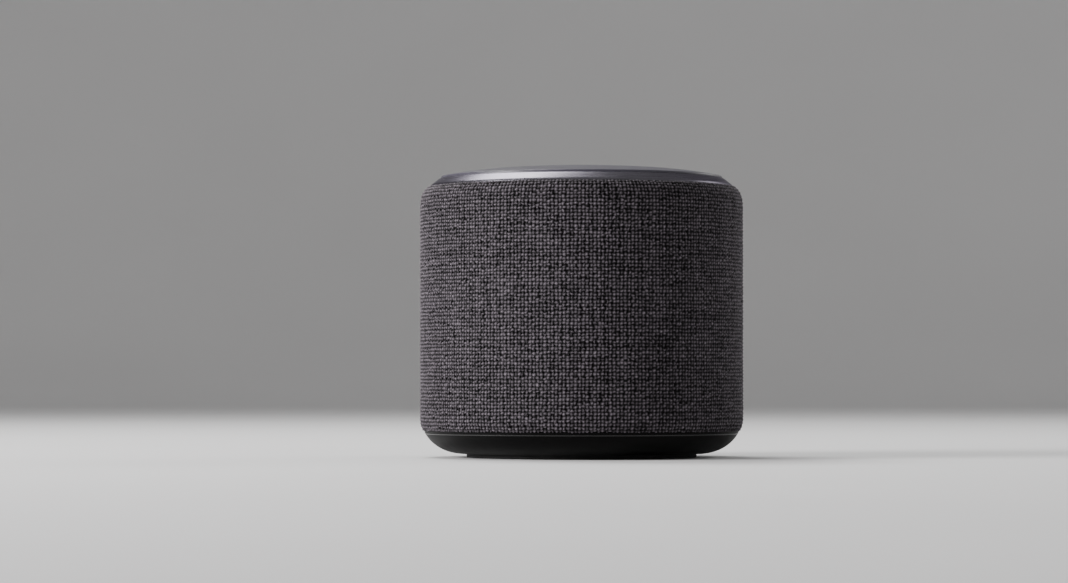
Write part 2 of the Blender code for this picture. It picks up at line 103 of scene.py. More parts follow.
SOCKET_FACE = 55.2
BORE_BOTTOM = 46.0
POWER_X = -8.0
AUDIO_X = 8.0
BEZEL_SIZE = (36.0, 13.0)
BEZEL_CORNER = 4.0
GAP = 0.3

# The weave, in millimetres.
WARP_SPACING = 1.39
WEFT_SPACING = 1.29
THREAD_DEPTH = 0.4
THREAD_WAVE = 0.25
GAUZE_DEPTH = 0.5
WELT_RISE = 0.28
WELT_REACH = 0.8
FOLD_REACH = 1.1
FOLD_DEPTH = 0.8
FOLD_LIMIT = 1.6  # in reaches
OPENING_OVERLAP = 0.25
SAMPLES_PER_CROSSING = 2

# A thread has three rows of points: where each lies, in half widths, and how far it is lifted.
ACROSS = np.array([-1.0, 0.0, 1.0])
THREAD_ROUNDNESS = np.array([-0.17, 0.13, -0.17])

# How uneven the yarn is. Fill is a thread's width over its spacing, and a slub is a share of that width.
# A tone is mostly between 0 and 1, and a thread's edges lose a share of it, as painted shade. Drift and
# jitter are in millimetres, and reach counts the samples over which a slub or a drift is smoothed.
THREAD_FILL = 0.74
FILL_SPREAD = 0.05
SLUB_SIZE = 0.13
SLUB_REACH = 11
DRIFT_SIZE = 0.16
DRIFT_REACH = 13
SIDE_JITTER = 0.11
LIFT_JITTER = 0.045
THREAD_TONE = 0.5
THREAD_TONE_SPREAD = 0.12
CROSSING_TONE_SPREAD = 0.25
EDGE_SHADE = 0.45
NOISE_SHIFT_PER_THREAD = 1000.0


# Node trees


def new_material(name, roughness=0.5, metallic=0.0):
    made = bpy.data.materials.new(name)
    made.use_nodes = True
    shader = made.node_tree.nodes["Principled BSDF"]
    shader.inputs["Roughness"].default_value = roughness
    shader.inputs["Metallic"].default_value = metallic
    return made, made.node_tree, shader


def add_node(tree, kind, inputs=None, **settings):
    node = tree.nodes.new(kind)
    for name, value in settings.items():
        setattr(node, name, value)
    for name, value in (inputs or {}).items():
        if isinstance(value, bpy.types.NodeSocket):
            tree.links.new(value, node.inputs[name])
        else:
            node.inputs[name].default_value = value
    return node


def calculate(tree, operation, first, second):
    return add_node(tree, "ShaderNodeMath", {0: first, 1: second}, operation=operation).outputs[0]


def place_of(tree):
    return add_node(tree, "ShaderNodeTexCoord").outputs["Object"]


def scaled(tree, vector, scale):
    return add_node(tree, "ShaderNodeVectorMath", {0: vector, 1: scale}, operation="MULTIPLY").outputs[0]


def noise(tree, vector, scale, detail=2.0, roughness=0.5):
    inputs = {"Vector": vector, "Scale": scale, "Detail": detail, "Roughness": roughness}
    return add_node(tree, "ShaderNodeTexNoise", inputs).outputs["Fac"]


def waves(tree, vector, scale, direction):
    inputs = {"Vector": vector, "Scale": scale, "Distortion": 0.2}
    return add_node(tree, "ShaderNodeTexWave", inputs, bands_direction=direction).outputs["Fac"]


def spread(tree, value, low, high):
    """A noise value's usual range stretched to low..high."""
    inputs = {"Value": value, "From Min": 0.3, "From Max": 0.7, "To Min": low, "To Max": high}
    return add_node(tree, "ShaderNodeMapRange", inputs).outputs[0]


def colour_between(tree, shader, value, dark, light, start=0.3, end=0.7):
    ramp = add_node(tree, "ShaderNodeValToRGB", {"Fac": value})
    for element, place, colour in zip(ramp.color_ramp.elements, (start, end), (dark, light)):
        element.position = place
        element.color = (*colour, 1.0)
    tree.links.new(ramp.outputs["Color"], shader.inputs["Base Color"])


def relief(tree, shader, height, strength, distance=0.2):
    """A bump, its depth in millimetres."""
    inputs = {"Height": height, "Strength": strength, "Distance": distance * MM}
    node = add_node(tree, "ShaderNodeBump", inputs)
    tree.links.new(node.outputs["Normal"], shader.inputs["Normal"])


def attribute(tree, name, output="Fac"):
    return add_node(tree, "ShaderNodeAttribute", attribute_name=name).outputs[output]


# Materials


def moulded_plastic(name, dark, light, roughness, grain_strength=0.05, shine=0.5):
    """A fine eroded grain, faint clouding in the colour and handling marks in the gloss."""
    made, tree, shader = new_material(name)
    shader.inputs["Specular IOR Level"].default_value = shine
    place = place_of(tree)
    colour_between(tree, shader, noise(tree, place, 38.0, 4.0, 0.6), dark, light)
    marks = noise(tree, place, 60.0, 5.0, 0.65)
    tree.links.new(spread(tree, marks, roughness - 0.05, roughness + 0.06), shader.inputs["Roughness"])
    relief(tree, shader, noise(tree, place, 2600.0), grain_strength)
    return made


def turned_metal(name, dark, light):
    """Dark anodised metal finished on a lathe, with fine lines running round it."""
    lines_per_metre = 9000.0
    breaks_per_metre = 70.0
    made, tree, shader = new_material(name, metallic=1.0)
    shader.inputs["Specular Tint"].default_value = (0.4, 0.38, 0.43, 1.0)
    place = place_of(tree)
    flat = scaled(tree, place, (1.0, 1.0, 0.0))
    radius = add_node(tree, "ShaderNodeVectorMath", {0: flat}, operation="LENGTH").outputs["Value"]
    split = add_node(tree, "ShaderNodeSeparateXYZ", {0: place})
    inputs = {
        "X": calculate(tree, "MULTIPLY", radius, lines_per_metre),
        "Y": calculate(tree, "MULTIPLY", split.outputs["Z"], lines_per_metre),
        "Z": calculate(tree, "MULTIPLY", split.outputs["X"], breaks_per_metre),
    }
    lines = noise(tree, add_node(tree, "ShaderNodeCombineXYZ", inputs).outputs[0], 1.0, 3.0, 0.7)
    colour_between(tree, shader, noise(tree, place, 45.0, 4.0, 0.6), dark, light)
    tree.links.new(spread(tree, lines, 0.24, 0.36), shader.inputs["Roughness"])
    relief(tree, shader, lines, 0.12, 0.05)
    return made


def yarn(name, dark, light):
    """Spun yarn: twisted fibres, thicker stretches, a tone that varies by thread and by crossing, and
    painted shade: dark where it dives under and towards its edges."""
    made, tree, shader = new_material(name, 0.8)
    shader.inputs["Sheen Weight"].default_value = 0.04
    shader.inputs["Sheen Roughness"].default_value = 0.4
    shader.inputs["Specular IOR Level"].default_value = 0.25
    fibre = attribute(tree, "fibre", "Vector")
    strands = noise(tree, scaled(tree, fibre, (1300.0, 7500.0, 40.0)), 1.0, 3.0, 0.6)
    slubs = noise(tree, scaled(tree, fibre, (130.0, 0.0, 60.0)), 1.0, 3.0, 0.65)
    value = calculate(tree, "MULTIPLY", strands, 0.25)
    for part, weight in ((slubs, 0.6), (attribute(tree, "tone"), 0.45)):
        value = calculate(tree, "ADD", value, calculate(tree, "MULTIPLY", part, weight))
    # Painted shade: the colour falls to the dark end where a thread dives under and towards its edges.
    value = calculate(tree, "MULTIPLY", value, calculate(tree, "POWER", attribute(tree, "crown_shade"), 2.2))
    colour_between(tree, shader, value, dark, light, 0.05, 0.95)
    relief(tree, shader, strands, 0.5, 0.1)
    return made


def gauze(name):
    """The black acoustic gauze behind the open weave; its near-black colour also stands in as painted shade
    in the holes of the weave.
    """
    made, tree, shader = new_material(name, 0.95)
    shader.inputs["Specular IOR Level"].default_value = 0.15
    mottle = noise(tree, place_of(tree), 900.0, 3.0, 0.6)
    # Painted shade: near-black so that the holes of the weave read as shaded, over the gauze's own dark
    # colour.
    colour_between(tree, shader, mottle, (0.004, 0.0035, 0.004), (0.009, 0.008, 0.009))
    relief(tree, shader, mottle, 0.4)
    return made


def rubber(name):
    """Soft black rubber with a little dust in its pores."""
    made, tree, shader = new_material(name, 0.78)
    place = place_of(tree)
    dust = noise(tree, place, 160.0, 5.0, 0.7)
    colour_between(tree, shader, dust, (0.012, 0.012, 0.012), (0.028, 0.028, 0.028), 0.35, 0.8)
    relief(tree, shader, noise(tree, place, 3500.0), 0.15)
    return made


def diffuser(name):
    """The milky plastic of the light ring."""
    made, tree, shader = new_material(name, 0.35)
    shader.inputs["Subsurface Weight"].default_value = 0.2
    shader.inputs["Subsurface Radius"].default_value = (0.002, 0.002, 0.002)
    place = place_of(tree)
    haze = noise(tree, place, 120.0, 3.0)
    colour_between(tree, shader, haze, (0.42, 0.42, 0.45), (0.5, 0.5, 0.53))
    relief(tree, shader, noise(tree, place, 2500.0), 0.04)
    return made


def bare_metal(name, dark, light, roughness=0.3):
    made, tree, shader = new_material(name, metallic=1.0)
    place = place_of(tree)
    wear = noise(tree, place, 240.0, 5.0, 0.65)
    colour_between(tree, shader, wear, dark, light)
    tree.links.new(spread(tree, wear, roughness, roughness + 0.15), shader.inputs["Roughness"])
    relief(tree, shader, noise(tree, scaled(tree, place, (1.0, 1.0, 6.0)), 900.0, 3.0), 0.08)
    return made


def circuit_board(name):
    """Green solder mask over tracks that show as paler bands."""
    made, tree, shader = new_material(name, 0.3)
    inputs = {"Vector": place_of(tree), "Scale": 420.0}
    cells = add_node(tree, "ShaderNodeTexVoronoi", inputs, distance="MANHATTAN").outputs["Distance"]
    tracks = calculate(tree, "PINGPONG", calculate(tree, "MULTIPLY", cells, 6.0), 1.0)
    colour_between(tree, shader, tracks, (0.006, 0.05, 0.022), (0.012, 0.1, 0.045), 0.45, 0.55)
    relief(tree, shader, tracks, 0.1, 0.1)
    return made


def felted(name, dark, light):
    """Pressed paper fibre or doped cloth, as loudspeaker diaphragms have."""
    made, tree, shader = new_material(name, 0.85)
    fibres = noise(tree, place_of(tree), 1400.0, 6.0, 0.7)
    colour_between(tree, shader, fibres, dark, light, 0.35, 0.7)
    relief(tree, shader, fibres, 0.35, 0.3)
    return made


def windings(name):
    """Enamelled wire laid turn on turn up the voice coil."""
    made, tree, shader = new_material(name, 0.28, 1.0)
    turns = waves(tree, place_of(tree), 900.0, "Z")
    colour_between(tree, shader, turns, (0.2, 0.07, 0.03), (0.72, 0.36, 0.18), 0.1, 0.7)
    relief(tree, shader, turns, 0.6, 0.3)
    return made


def striped_cable(name):
    """White flat cable with its conductors showing as stripes."""
    made, tree, shader = new_material(name, 0.4)
    stripes = waves(tree, place_of(tree), 300.0, "Y")
    colour_between(tree, shader, stripes, (0.45, 0.46, 0.48), (0.75, 0.76, 0.78), 0.3, 0.6)
    relief(tree, shader, stripes, 0.3, 0.3)
    return made


def studio_paper(name):
    made, tree, shader = new_material(name, 0.8)
    tone = noise(tree, place_of(tree), 2.5)
    colour_between(tree, shader, tone, (0.79, 0.785, 0.78), (0.82, 0.815, 0.81))
    return made


def make_materials():
    """One finish for each of the record's slots, and a few for marks and linings."""
    return {
        # Painted light: the purple tint of both yarns stands in for coloured light on charcoal yarn.
        "warp": yarn("warp_yarn", (0.002, 0.0016, 0.002), (0.225, 0.194, 0.225)),
        "weft": yarn("weft_yarn", (0.0022, 0.0018, 0.0022), (0.25, 0.216, 0.25)),
        "cloth": gauze("gauze_painted_shade"),
        "base": moulded_plastic("base_plastic", (0.0025,) * 3, (0.004,) * 3, 0.48, 0.03, 0.07),
        # Painted highlight: the trim is lighter than the base, standing in for light caught along the rim's
        # edge.
        "trim": moulded_plastic("trim_painted_highlight", (0.018,) * 3, (0.024,) * 3, 0.35, 0.03, 0.4),
        # Painted light: the cover's purple tint stands in for coloured light on dark grey plastic.
        "cover": moulded_plastic("cover_plastic", (0.042, 0.038, 0.054), (0.053, 0.048, 0.067), 0.4),
        "inner_plastic": moulded_plastic("inner_plastic", (0.02,) * 3, (0.032,) * 3, 0.55),
        "capacitor": moulded_plastic("capacitor_sleeve", (0.02, 0.022, 0.035), (0.03, 0.032, 0.05), 0.35),
        "mark": moulded_plastic("printed_mark", (0.36, 0.35, 0.38), (0.43, 0.42, 0.45), 0.5),
        "ring": turned_metal("gunmetal", (0.19, 0.181, 0.205), (0.225, 0.214, 0.241)),
        "rubber": rubber("foot_rubber"),
        "light": diffuser("light_diffuser"),
        "steel": bare_metal("zinc_plate", (0.34, 0.34, 0.35), (0.55, 0.55, 0.56)),
        "magnet": bare_metal("ferrite", (0.03, 0.03, 0.033), (0.06, 0.06, 0.065), 0.55),
        "heat_sink": bare_metal("extruded_aluminium", (0.5, 0.5, 0.52), (0.64, 0.64, 0.66)),
        "board": circuit_board("solder_mask"),
        "paper": felted("cone_fibre", (0.016,) * 3, (0.05,) * 3),
        "silk": felted("coated_silk", (0.02,) * 3, (0.06,) * 3),
        "coil": windings("copper_windings"),
        "cable": striped_cable("cable_sheath"),
        "floor": studio_paper("studio_paper"),
    }


def finish_cad_nodes(finish):
    """Every CAD node gets the finish of its slot; the ones on the outside are then replaced."""
    for entry in frame["record"]["subparts"]:
        materials = frame["nodes"][entry["node"]].data.materials
        materials.clear()
        materials.append(finish[entry["material_slot"]])
    cable = frame["nodes"]["ribbon_cable"].data.materials
    cable.clear()
    cable.append(finish["cable"])


# Meshes


def new_object(name, data):
    made = bpy.data.objects.new(name, data)
    bpy.context.scene.collection.objects.link(made)
    return made


def mesh_object(name, mesh):
    bmesh.ops.recalc_face_normals(mesh, faces=mesh.faces)
    data = bpy.data.meshes.new(name)
    mesh.to_mesh(data)
    mesh.free()
    return new_object(name, data)


def dress(made, finish, node=None, body=CABINET, crease=35):
    """Finishes a piece's surface, fixes it to a body and lets it stand for a CAD node."""
    made.data.materials.clear()
    made.data.materials.append(finish)
    made.data.shade_smooth()
    made.data.set_sharp_from_angle(angle=math.radians(crease))
    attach(made, body)
    if node:
        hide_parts(node)
    return made


def rounded(outline):
    """Points of an outline. A corner may name, after radius and height, how far its rounding reaches."""
    steps = 4
    points = []
    for index, (radius, height, *reach) in enumerate(outline):
        corner = Vector((radius, height))
        if not reach:
            points.append(corner)
            continue
        before = Vector(outline[index - 1][:2]) - corner
        after = Vector(outline[(index + 1) % len(outline)][:2]) - corner
        start = corner + before.normalized() * min(reach[0], before.length / 2.1)
        end = corner + after.normalized() * min(reach[0], after.length / 2.1)
        for step in range(steps + 1):
            share = step / steps
            points.append((1 - share) ** 2 * start + 2 * share * (1 - share) * corner + share**2 * end)
    return points


def ring_of(mesh, radius, height, segments, centre):
    """A ring of corners, or the same one over and over where it lies on the axis."""
    if radius < 1e-6:
        return [mesh.verts.new((centre[0] * MM, centre[1] * MM, height * MM))] * segments
    corners = []
    for step in range(segments):
        angle = TURN * step / segments
        x = centre[0] + radius * math.cos(angle)
        y = centre[1] + radius * math.sin(angle)
        corners.append(mesh.verts.new((x * MM, y * MM, height * MM)))
    return corners


def turned(name, outline, segments=192, centre=(0.0, 0.0), closed=True):
    """An outline turned about the upright line through centre."""
    mesh = bmesh.new()
    rings = [ring_of(mesh, radius, height, segments, centre) for radius, height in rounded(outline)]
    following = rings[1:] + rings[:1] if closed else rings[1:]
    for lower, upper in zip(rings, following):
        for step in range(segments):
            after = (step + 1) % segments
            corners = dict.fromkeys((lower[step], lower[after], upper[after], upper[step]))
            if len(corners) > 2:
                mesh.faces.new(corners)
    return mesh_object(name, mesh)


def combined(made, tool, operation="DIFFERENCE"):
    """The piece after a Boolean with the tool, which is used up."""
    modifier = made.modifiers.new("tool", "BOOLEAN")
    modifier.operation = operation
    modifier.solver = "EXACT"
    modifier.object = tool
    graph = bpy.context.evaluated_depsgraph_get()
    data = bpy.data.meshes.new_from_object(made.evaluated_get(graph))
    made.modifiers.clear()
    made.data = data
    bpy.data.objects.remove(tool)
    return made


def drilled(made, places, outline, segments=48):
    """The piece with the same turned hole cut at each place."""
    for place in places:
        combined(made, turned("drill", outline, segments, place))
    return made


def around(radius, count, start):
    """Places evenly round a circle, the first at start degrees."""
    angles = [math.radians(start) + TURN * step / count for step in range(count)]
    return [(radius * math.cos(angle), radius * math.sin(angle)) for angle in angles]


def facing_back(made):
    """Swings a piece turned about the Z axis so that it points along +Y, at the height of the sockets."""
    for corner in made.data.vertices:
        x, y, z = corner.co
        corner.co = (x, z, SOCKET_HEIGHT * MM - y)
    return made


# Cloth sleeve


def lower_reach(height):
    drop = (LOWER_CURVE_HEIGHT - height) / (LOWER_CURVE_DROP - THREAD_DEPTH)
    reach = BODY_RADIUS - THREAD_DEPTH - LOWER_CURVE_RADIUS
    return LOWER_CURVE_RADIUS + reach * math.sqrt(1 - drop * drop)


def sleeve_profile():
    """The middle of the cloth from the fold of its hem, up the side and over the shoulder, with the
    distance along it. The crest then turns down behind the ring."""
    hem_steps = 5
    hem_radius = 0.3
    hem_turn = 0.95 * math.pi
    curve_steps = 16
    shoulder_steps = 40
    tuck_in = 0.15
    tuck_down = 1.0
    first_height = HEM_HEIGHT + 2 * hem_radius
    hem_centre = (lower_reach(first_height) - hem_radius, first_height - 0.05)
    points = []
    for step in range(hem_steps):
        angle = math.pi + hem_turn * step / (hem_steps - 1)
        x = hem_centre[0] + hem_radius * math.cos(angle)
        points.append((x, hem_centre[1] + hem_radius * math.sin(angle)))
    for step in range(curve_steps):
        height = first_height + (LOWER_CURVE_HEIGHT - first_height) * (step + 1) / curve_steps
        points.append((lower_reach(height), height))
    inner = BODY_RADIUS - SHOULDER_RADIUS
    reach = SHOULDER_RADIUS - THREAD_DEPTH
    rise = CREST_HEIGHT - THREAD_DEPTH - SHOULDER_START
    for step in range(shoulder_steps + 1):
        angle = math.pi / 2 * step / shoulder_steps
        x = inner + reach * math.cos(angle) ** (2 / SHOULDER_POWER)
        points.append((x, SHOULDER_START + rise * math.sin(angle) ** (2 / SHOULDER_POWER)))
    points.append((inner - tuck_in, CREST_HEIGHT - tuck_down))
    line = np.array(points)
    steps = np.linalg.norm(np.diff(line, axis=0), axis=1)
    return line, np.concatenate([[0.0], np.cumsum(steps)])


PROFILE, PROFILE_ALONG = sleeve_profile()
CLOTH_WIDTH = TURN * BODY_RADIUS
CLOTH_HEIGHT = PROFILE_ALONG[-1]
WARP_COUNT = 2 * round(CLOTH_WIDTH / WARP_SPACING / 2)
WEFT_COUNT = round(CLOTH_HEIGHT / WEFT_SPACING)
WARP_PITCH = CLOTH_WIDTH / WARP_COUNT
WEFT_PITCH = CLOTH_HEIGHT / WEFT_COUNT
WELT_PLACE = CLOTH_HEIGHT - 1.5 * WEFT_PITCH


def on_profile(along):
    """Radius and height of the cloth's middle, and its outward direction, at distances along it."""
    step = 0.4
    behind = np.clip(along - step, 0.0, CLOTH_HEIGHT)
    ahead = np.clip(along + step, 0.0, CLOTH_HEIGHT)
    radius, radius_behind, radius_ahead = (
        np.interp(at, PROFILE_ALONG, PROFILE[:, 0]) for at in (along, behind, ahead)
    )
    height, height_behind, height_ahead = (
        np.interp(at, PROFILE_ALONG, PROFILE[:, 1]) for at in (along, behind, ahead)
    )
    out = radius_ahead - radius_behind
    rise = height_ahead - height_behind
    length = np.maximum(np.hypot(out, rise), 1e-6)
    return radius, height, rise / length, -out / length


def beyond_opening(angle, height):
    """How far a point of the cloth is outside the opening round the socket panel, negative inside it."""
    across = np.abs((angle - math.pi / 2) * BODY_RADIUS) - (BEZEL_SIZE[0] / 2 + GAP - BEZEL_CORNER)
    over = np.abs(height - SOCKET_HEIGHT) - (BEZEL_SIZE[1] / 2 + GAP - BEZEL_CORNER)
    outside = np.hypot(np.maximum(across, 0.0), np.maximum(over, 0.0))
    return outside + np.minimum(np.maximum(across, over), 0.0) - BEZEL_CORNER


def lay_cloth(angle, along, lift):
    """Points at angles round the cloth, distances along it and lifts off it. It swells into a welt along
    the ring, and its edge turns in at the opening."""
    radius, height, out, up = on_profile(np.clip(along, 0.0, CLOTH_HEIGHT))
    clearance = beyond_opening(angle, height)
    fold = np.clip(1 - clearance / FOLD_REACH, 0.0, FOLD_LIMIT)
    welt = np.exp(-(((along - WELT_PLACE) / WELT_REACH) ** 2))
    lift = lift - FOLD_DEPTH * fold**2 + WELT_RISE * welt
    distance = radius + lift * out
    points = (distance * np.cos(angle), distance * np.sin(angle), height + lift * up)
    return np.stack(points, axis=-1) * MM, clearance


def wander(count, size, reach):
    """Random values that drift, each smoothed over reach neighbours; the last meets the first."""
    window = np.hanning(reach + 2)[1:-1]
    loose = np.resize(dice.normal(size=count - 1), count - 1 + 2 * reach)
    smooth = np.convolve(loose, window / np.linalg.norm(window), "same")[reach:-reach]
    return size * np.append(smooth, smooth[0])


def ribbon_mesh(name, points, clearance, values):
    """Strips of faces over a (threads, samples, across) grid, without those inside the opening."""
    index = np.arange(clearance.size).reshape(clearance.shape)
    quads = np.stack([index[:, :-1, :-1], index[:, 1:, :-1], index[:, 1:, 1:], index[:, :-1, 1:]], axis=-1)
    quads = quads[clearance[:, :-1, :-1] > -OPENING_OVERLAP]
    used, quads = np.unique(quads, return_inverse=True)
    data = bpy.data.meshes.new(name)
    data.from_pydata(points.reshape(-1, 3)[used].tolist(), [], quads.reshape(-1, 4).tolist())
    for label, value in values.items():
        vector = value.ndim > clearance.ndim
        flat = value.reshape(-1, 3)[used] if vector else value.reshape(-1)[used]
        layer = data.attributes.new(label, "FLOAT_VECTOR" if vector else "FLOAT", "POINT")
        layer.data.foreach_set("vector" if vector else "value", flat.astype(np.float32).ravel())
    return new_object(name, data)


def make_threads(name, count, crossings, pitch, spacing, phase, upright):
    """Parallel threads that pass over and under the ones across them. Count threads spacing apart, each
    with crossings pitch apart; phase says whether the first crossing of the first thread goes over."""
    samples = crossings * SAMPLES_PER_CROSSING + 1
    shape = (count, samples, len(ACROSS))
    number = np.arange(count)[:, None, None]
    step = (np.arange(samples) / SAMPLES_PER_CROSSING)[None, :, None]
    over = np.cos(math.pi * (step - 0.5)) * np.where((number + phase) % 2, -1.0, 1.0)
    slubs = np.stack([wander(samples, SLUB_SIZE, SLUB_REACH) for _ in range(count)])[:, :, None]
    drift = np.stack([wander(samples, DRIFT_SIZE, DRIFT_REACH) for _ in range(count)])[:, :, None]
    half_width = 0.5 * spacing * dice.normal(THREAD_FILL, FILL_SPREAD, (count, 1, 1)) * (1 + slubs)
    jitter = dice.normal(0.0, SIDE_JITTER, (count, samples, 1))
    sideways = (number + 0.5) * spacing + drift + jitter + ACROSS * half_width
    along = np.broadcast_to(step * pitch, shape)
    lift = THREAD_WAVE * over + THREAD_ROUNDNESS + dice.normal(0.0, LIFT_JITTER, (count, samples, 1))
    tone = dice.normal(THREAD_TONE, THREAD_TONE_SPREAD, (count, 1, 1)) + slubs
    tone = tone + dice.normal(0.0, CROSSING_TONE_SPREAD, (count, samples, 1))
    arc, climb = (sideways, along) if upright else (along, sideways)
    points, clearance = lay_cloth(arc / BODY_RADIUS, climb, lift)
    across = np.broadcast_to(ACROSS * half_width, shape)
    noise_shift = np.broadcast_to(number * NOISE_SHIFT_PER_THREAD, shape)
    values = {
        # Painted shade: 1 on a thread's crown, falling to 0 where it dives under and lower at its edges.
        "crown_shade": (0.5 + 0.5 * over) * (1 - EDGE_SHADE * np.abs(ACROSS)),
        "tone": np.broadcast_to(tone, shape),
        "fibre": np.stack((along, across, noise_shift), axis=-1) * MM,
    }
    return ribbon_mesh(name, points, clearance, values)


def make_gauze():
    """A thin skin under the weave, with the same opening."""
    columns = 360
    rows = 120
    angle = np.linspace(0, TURN, columns + 1)[None, :, None] * np.ones((rows, 1, 1))
    along = np.linspace(0, CLOTH_HEIGHT, rows)[:, None, None] * np.ones((1, columns + 1, 1))
    points, clearance = lay_cloth(angle, along, np.full(angle.shape, -GAUZE_DEPTH))
    points = points.reshape(1, rows, columns + 1, 3)
    made = ribbon_mesh("fabric_backing", points, clearance.reshape(1, rows, columns + 1), {})
    mesh = bmesh.new()
    mesh.from_mesh(made.data)
    bmesh.ops.remove_doubles(mesh, verts=mesh.verts, dist=0.01 * MM)
    mesh.to_mesh(made.data)
    mesh.free()
    return made


def make_sleeve(finish):
    backing = dress(make_gauze(), finish["cloth"], "fabric_sleeve")
    warp = make_threads("warp_threads", WARP_COUNT, WEFT_COUNT, WEFT_PITCH, WARP_PITCH, 0, True)
    weft = make_threads("weft_threads", WEFT_COUNT, WARP_COUNT, WARP_PITCH, WEFT_PITCH, 1, False)
    dress(warp, finish["warp"], crease=180)
    dress(weft, finish["weft"], crease=180)


# Base and foot


def base_reach(height):
    drop = (LOWER_CURVE_HEIGHT - height) / (LOWER_CURVE_HEIGHT - FOOT_HEIGHT)
    return BASE_EDGE_RADIUS + BASE_CURVE_REACH * math.sqrt(1 - drop * drop)


def make_base(finish):
    """The dished base: a smooth curve from its underside to its rim, with a groove for the foot below and
    a lip that carries the hem of the cloth above. A dark soft band fills the seam between them, over a
    thin satin trim whose lighter colour is a painted highlight along the rim's edge."""
    steps = 22
    depth = LOWER_CURVE_HEIGHT - FOOT_HEIGHT
    rim_angle = math.acos((LOWER_CURVE_HEIGHT - BASE_RIM_HEIGHT) / depth)
    curve = []
    for step in range(steps):
        height = LOWER_CURVE_HEIGHT - depth * math.cos(rim_angle * step / steps)
        curve.append((base_reach(height), height))
    rim = [(base_reach(BASE_RIM_HEIGHT), BASE_RIM_HEIGHT, 0.35)]
    rim += [(SEAM_RADIUS, BASE_RIM_HEIGHT), (SEAM_RADIUS, 9.5)]
    lip = [(56.9, 9.6), (57.1, 10.3), (57.9, 12.0), (58.2, 13.9), (56.4, 13.9), (55.2, 11.5)]
    floor = [(53.0, 7.0), (49.0, 4.9), (0, 4.9), (0, FOOT_HEIGHT)]
    inner = FOOT_INNER_RADIUS - GAP
    outer = FOOT_OUTER_RADIUS + GAP
    groove = [(inner, FOOT_HEIGHT, 0.3), (inner, 3.6), (outer, 3.6), (outer, FOOT_HEIGHT, 0.3)]
    base = turned("base_shell", curve + rim + lip + floor + groove, 256)
    counterbore = [(0, 0), (3.6, 0), (3.2, FOOT_HEIGHT + 0.4), (3.2, 3.0), (1.8, 3.0), (1.8, 6.0), (0, 6.0)]
    drilled(base, around(SCREW_CIRCLE, 4, 45), counterbore)
    dress(base, finish["base"], "base_cover")
    band = [(57.4, 9.0), (58.0, 9.0), (58.4, 9.95, 0.1), (57.2, 9.95), (57.1, 9.5)]
    dress(turned("seam_band", band, 256), finish["base"])
    # Painted highlight: a chamfered trim ring whose lighter colour stands in for the light its edge catches.
    trim = [(SEAM_RADIUS, 8.6), (57.88, 8.6, 0.05), (58.08, 8.96, 0.12), (SEAM_RADIUS, 8.98)]
    dress(turned("base_trim", trim, 256), finish["trim"])


def make_foot(finish):
    """A rubber ring with fine grooves between the ribs of the face it stands on."""
    groove_count = 10
    groove_pitch = 0.62
    groove_depth = 0.22
    top = 3.3
    grooves = []
    for step in range(groove_count):
        radius = FOOT_INNER_RADIUS + 0.8 + groove_pitch * step
        grooves += [(radius, 0.0, 0.12), (radius + 0.16, groove_depth)]
        grooves += [(radius + 0.3, groove_depth), (radius + 0.46, 0.0, 0.12)]
    outline = [(FOOT_OUTER_RADIUS, top), (FOOT_OUTER_RADIUS, 0.35, 0.3), (42.25, 0.0, 0.2)] + grooves[::-1]
    outline += [(35.2, 0.0, 0.3), (FOOT_INNER_RADIUS, 0.3, 0.2), (FOOT_INNER_RADIUS, top)]
    dress(turned("rubber_ring", outline), finish["rubber"], "rubber_foot")


# Top


def dome_height(radius):
    return COVER_RIM_HEIGHT + COVER_DOME_RISE * (1 - (radius / DOME_RADIUS) ** 3)


def make_ring(finish):
    """The bevelled ring, with a ledge inside that carries the cover and a skirt inside the cloth."""
    inner = 52.5
    bevel = [(56.25, 100.25, 0.1), (55.8, 100.9, 0.4), (53.2, 102.95, 0.3), (52.8, 103.2, 0.2)]
    ledge = [(inner, 103.05, 0.1), (inner, 101.7), (50.0, 101.7), (50.0, 100.2), (inner, 100.2)]
    skirt = [(inner, 98.2), (55.0, 98.2), (55.0, 100.25)]
    dress(turned("bevelled_ring", bevel + ledge + skirt, 256), finish["ring"], "top_ring")


def make_cover(finish):
    """The domed cover, its rounded rim standing a little above the ring, with four microphone holes."""
    steps = 26
    rim_rounding = 0.7
    lip_radius = 27.3
    lip_height = 103.4
    outer = COVER_RADIUS - rim_rounding
    top = [(WELL_RADIUS, dome_height(WELL_RADIUS), 0.3)]
    for step in range(1, steps + 1):
        radius = WELL_RADIUS + (outer - WELL_RADIUS) * step / steps
        top.append((radius, dome_height(radius)))
    rim = [(COVER_RADIUS, dome_height(COVER_RADIUS), rim_rounding), (COVER_RADIUS, 102.0)]
    inside = [(radius, dome_height(radius) - COVER_THICKNESS) for radius in (43.0, 34.0, lip_radius)]
    lip = [(lip_radius, lip_height), (WELL_RADIUS, lip_height)]
    cover = turned("domed_cover", top + rim + inside + lip, 256)
    surface = dome_height(MICROPHONE_CIRCLE)
    hole = [(0, 101), (0.7, 101), (0.7, surface - 0.25), (1.0, surface + 0.1), (1.0, 108), (0, 108)]
    drilled(cover, around(MICROPHONE_CIRCLE, 4, 45), hole, 24)
    dress(cover, finish["cover"], "top_cover")


def make_light_ring(finish):
    """The ring that glows round the keys, with a flange that lies under the cover's lip."""
    top = 106.85
    bottom = 102.7
    outline = [(25.2, top, 0.25), (25.2, 103.1), (27.0, 103.1), (27.0, bottom)]
    outline += [(23.2, bottom), (23.2, top, 0.25)]
    dress(turned("light_ring", outline), finish["light"], "light_guide")


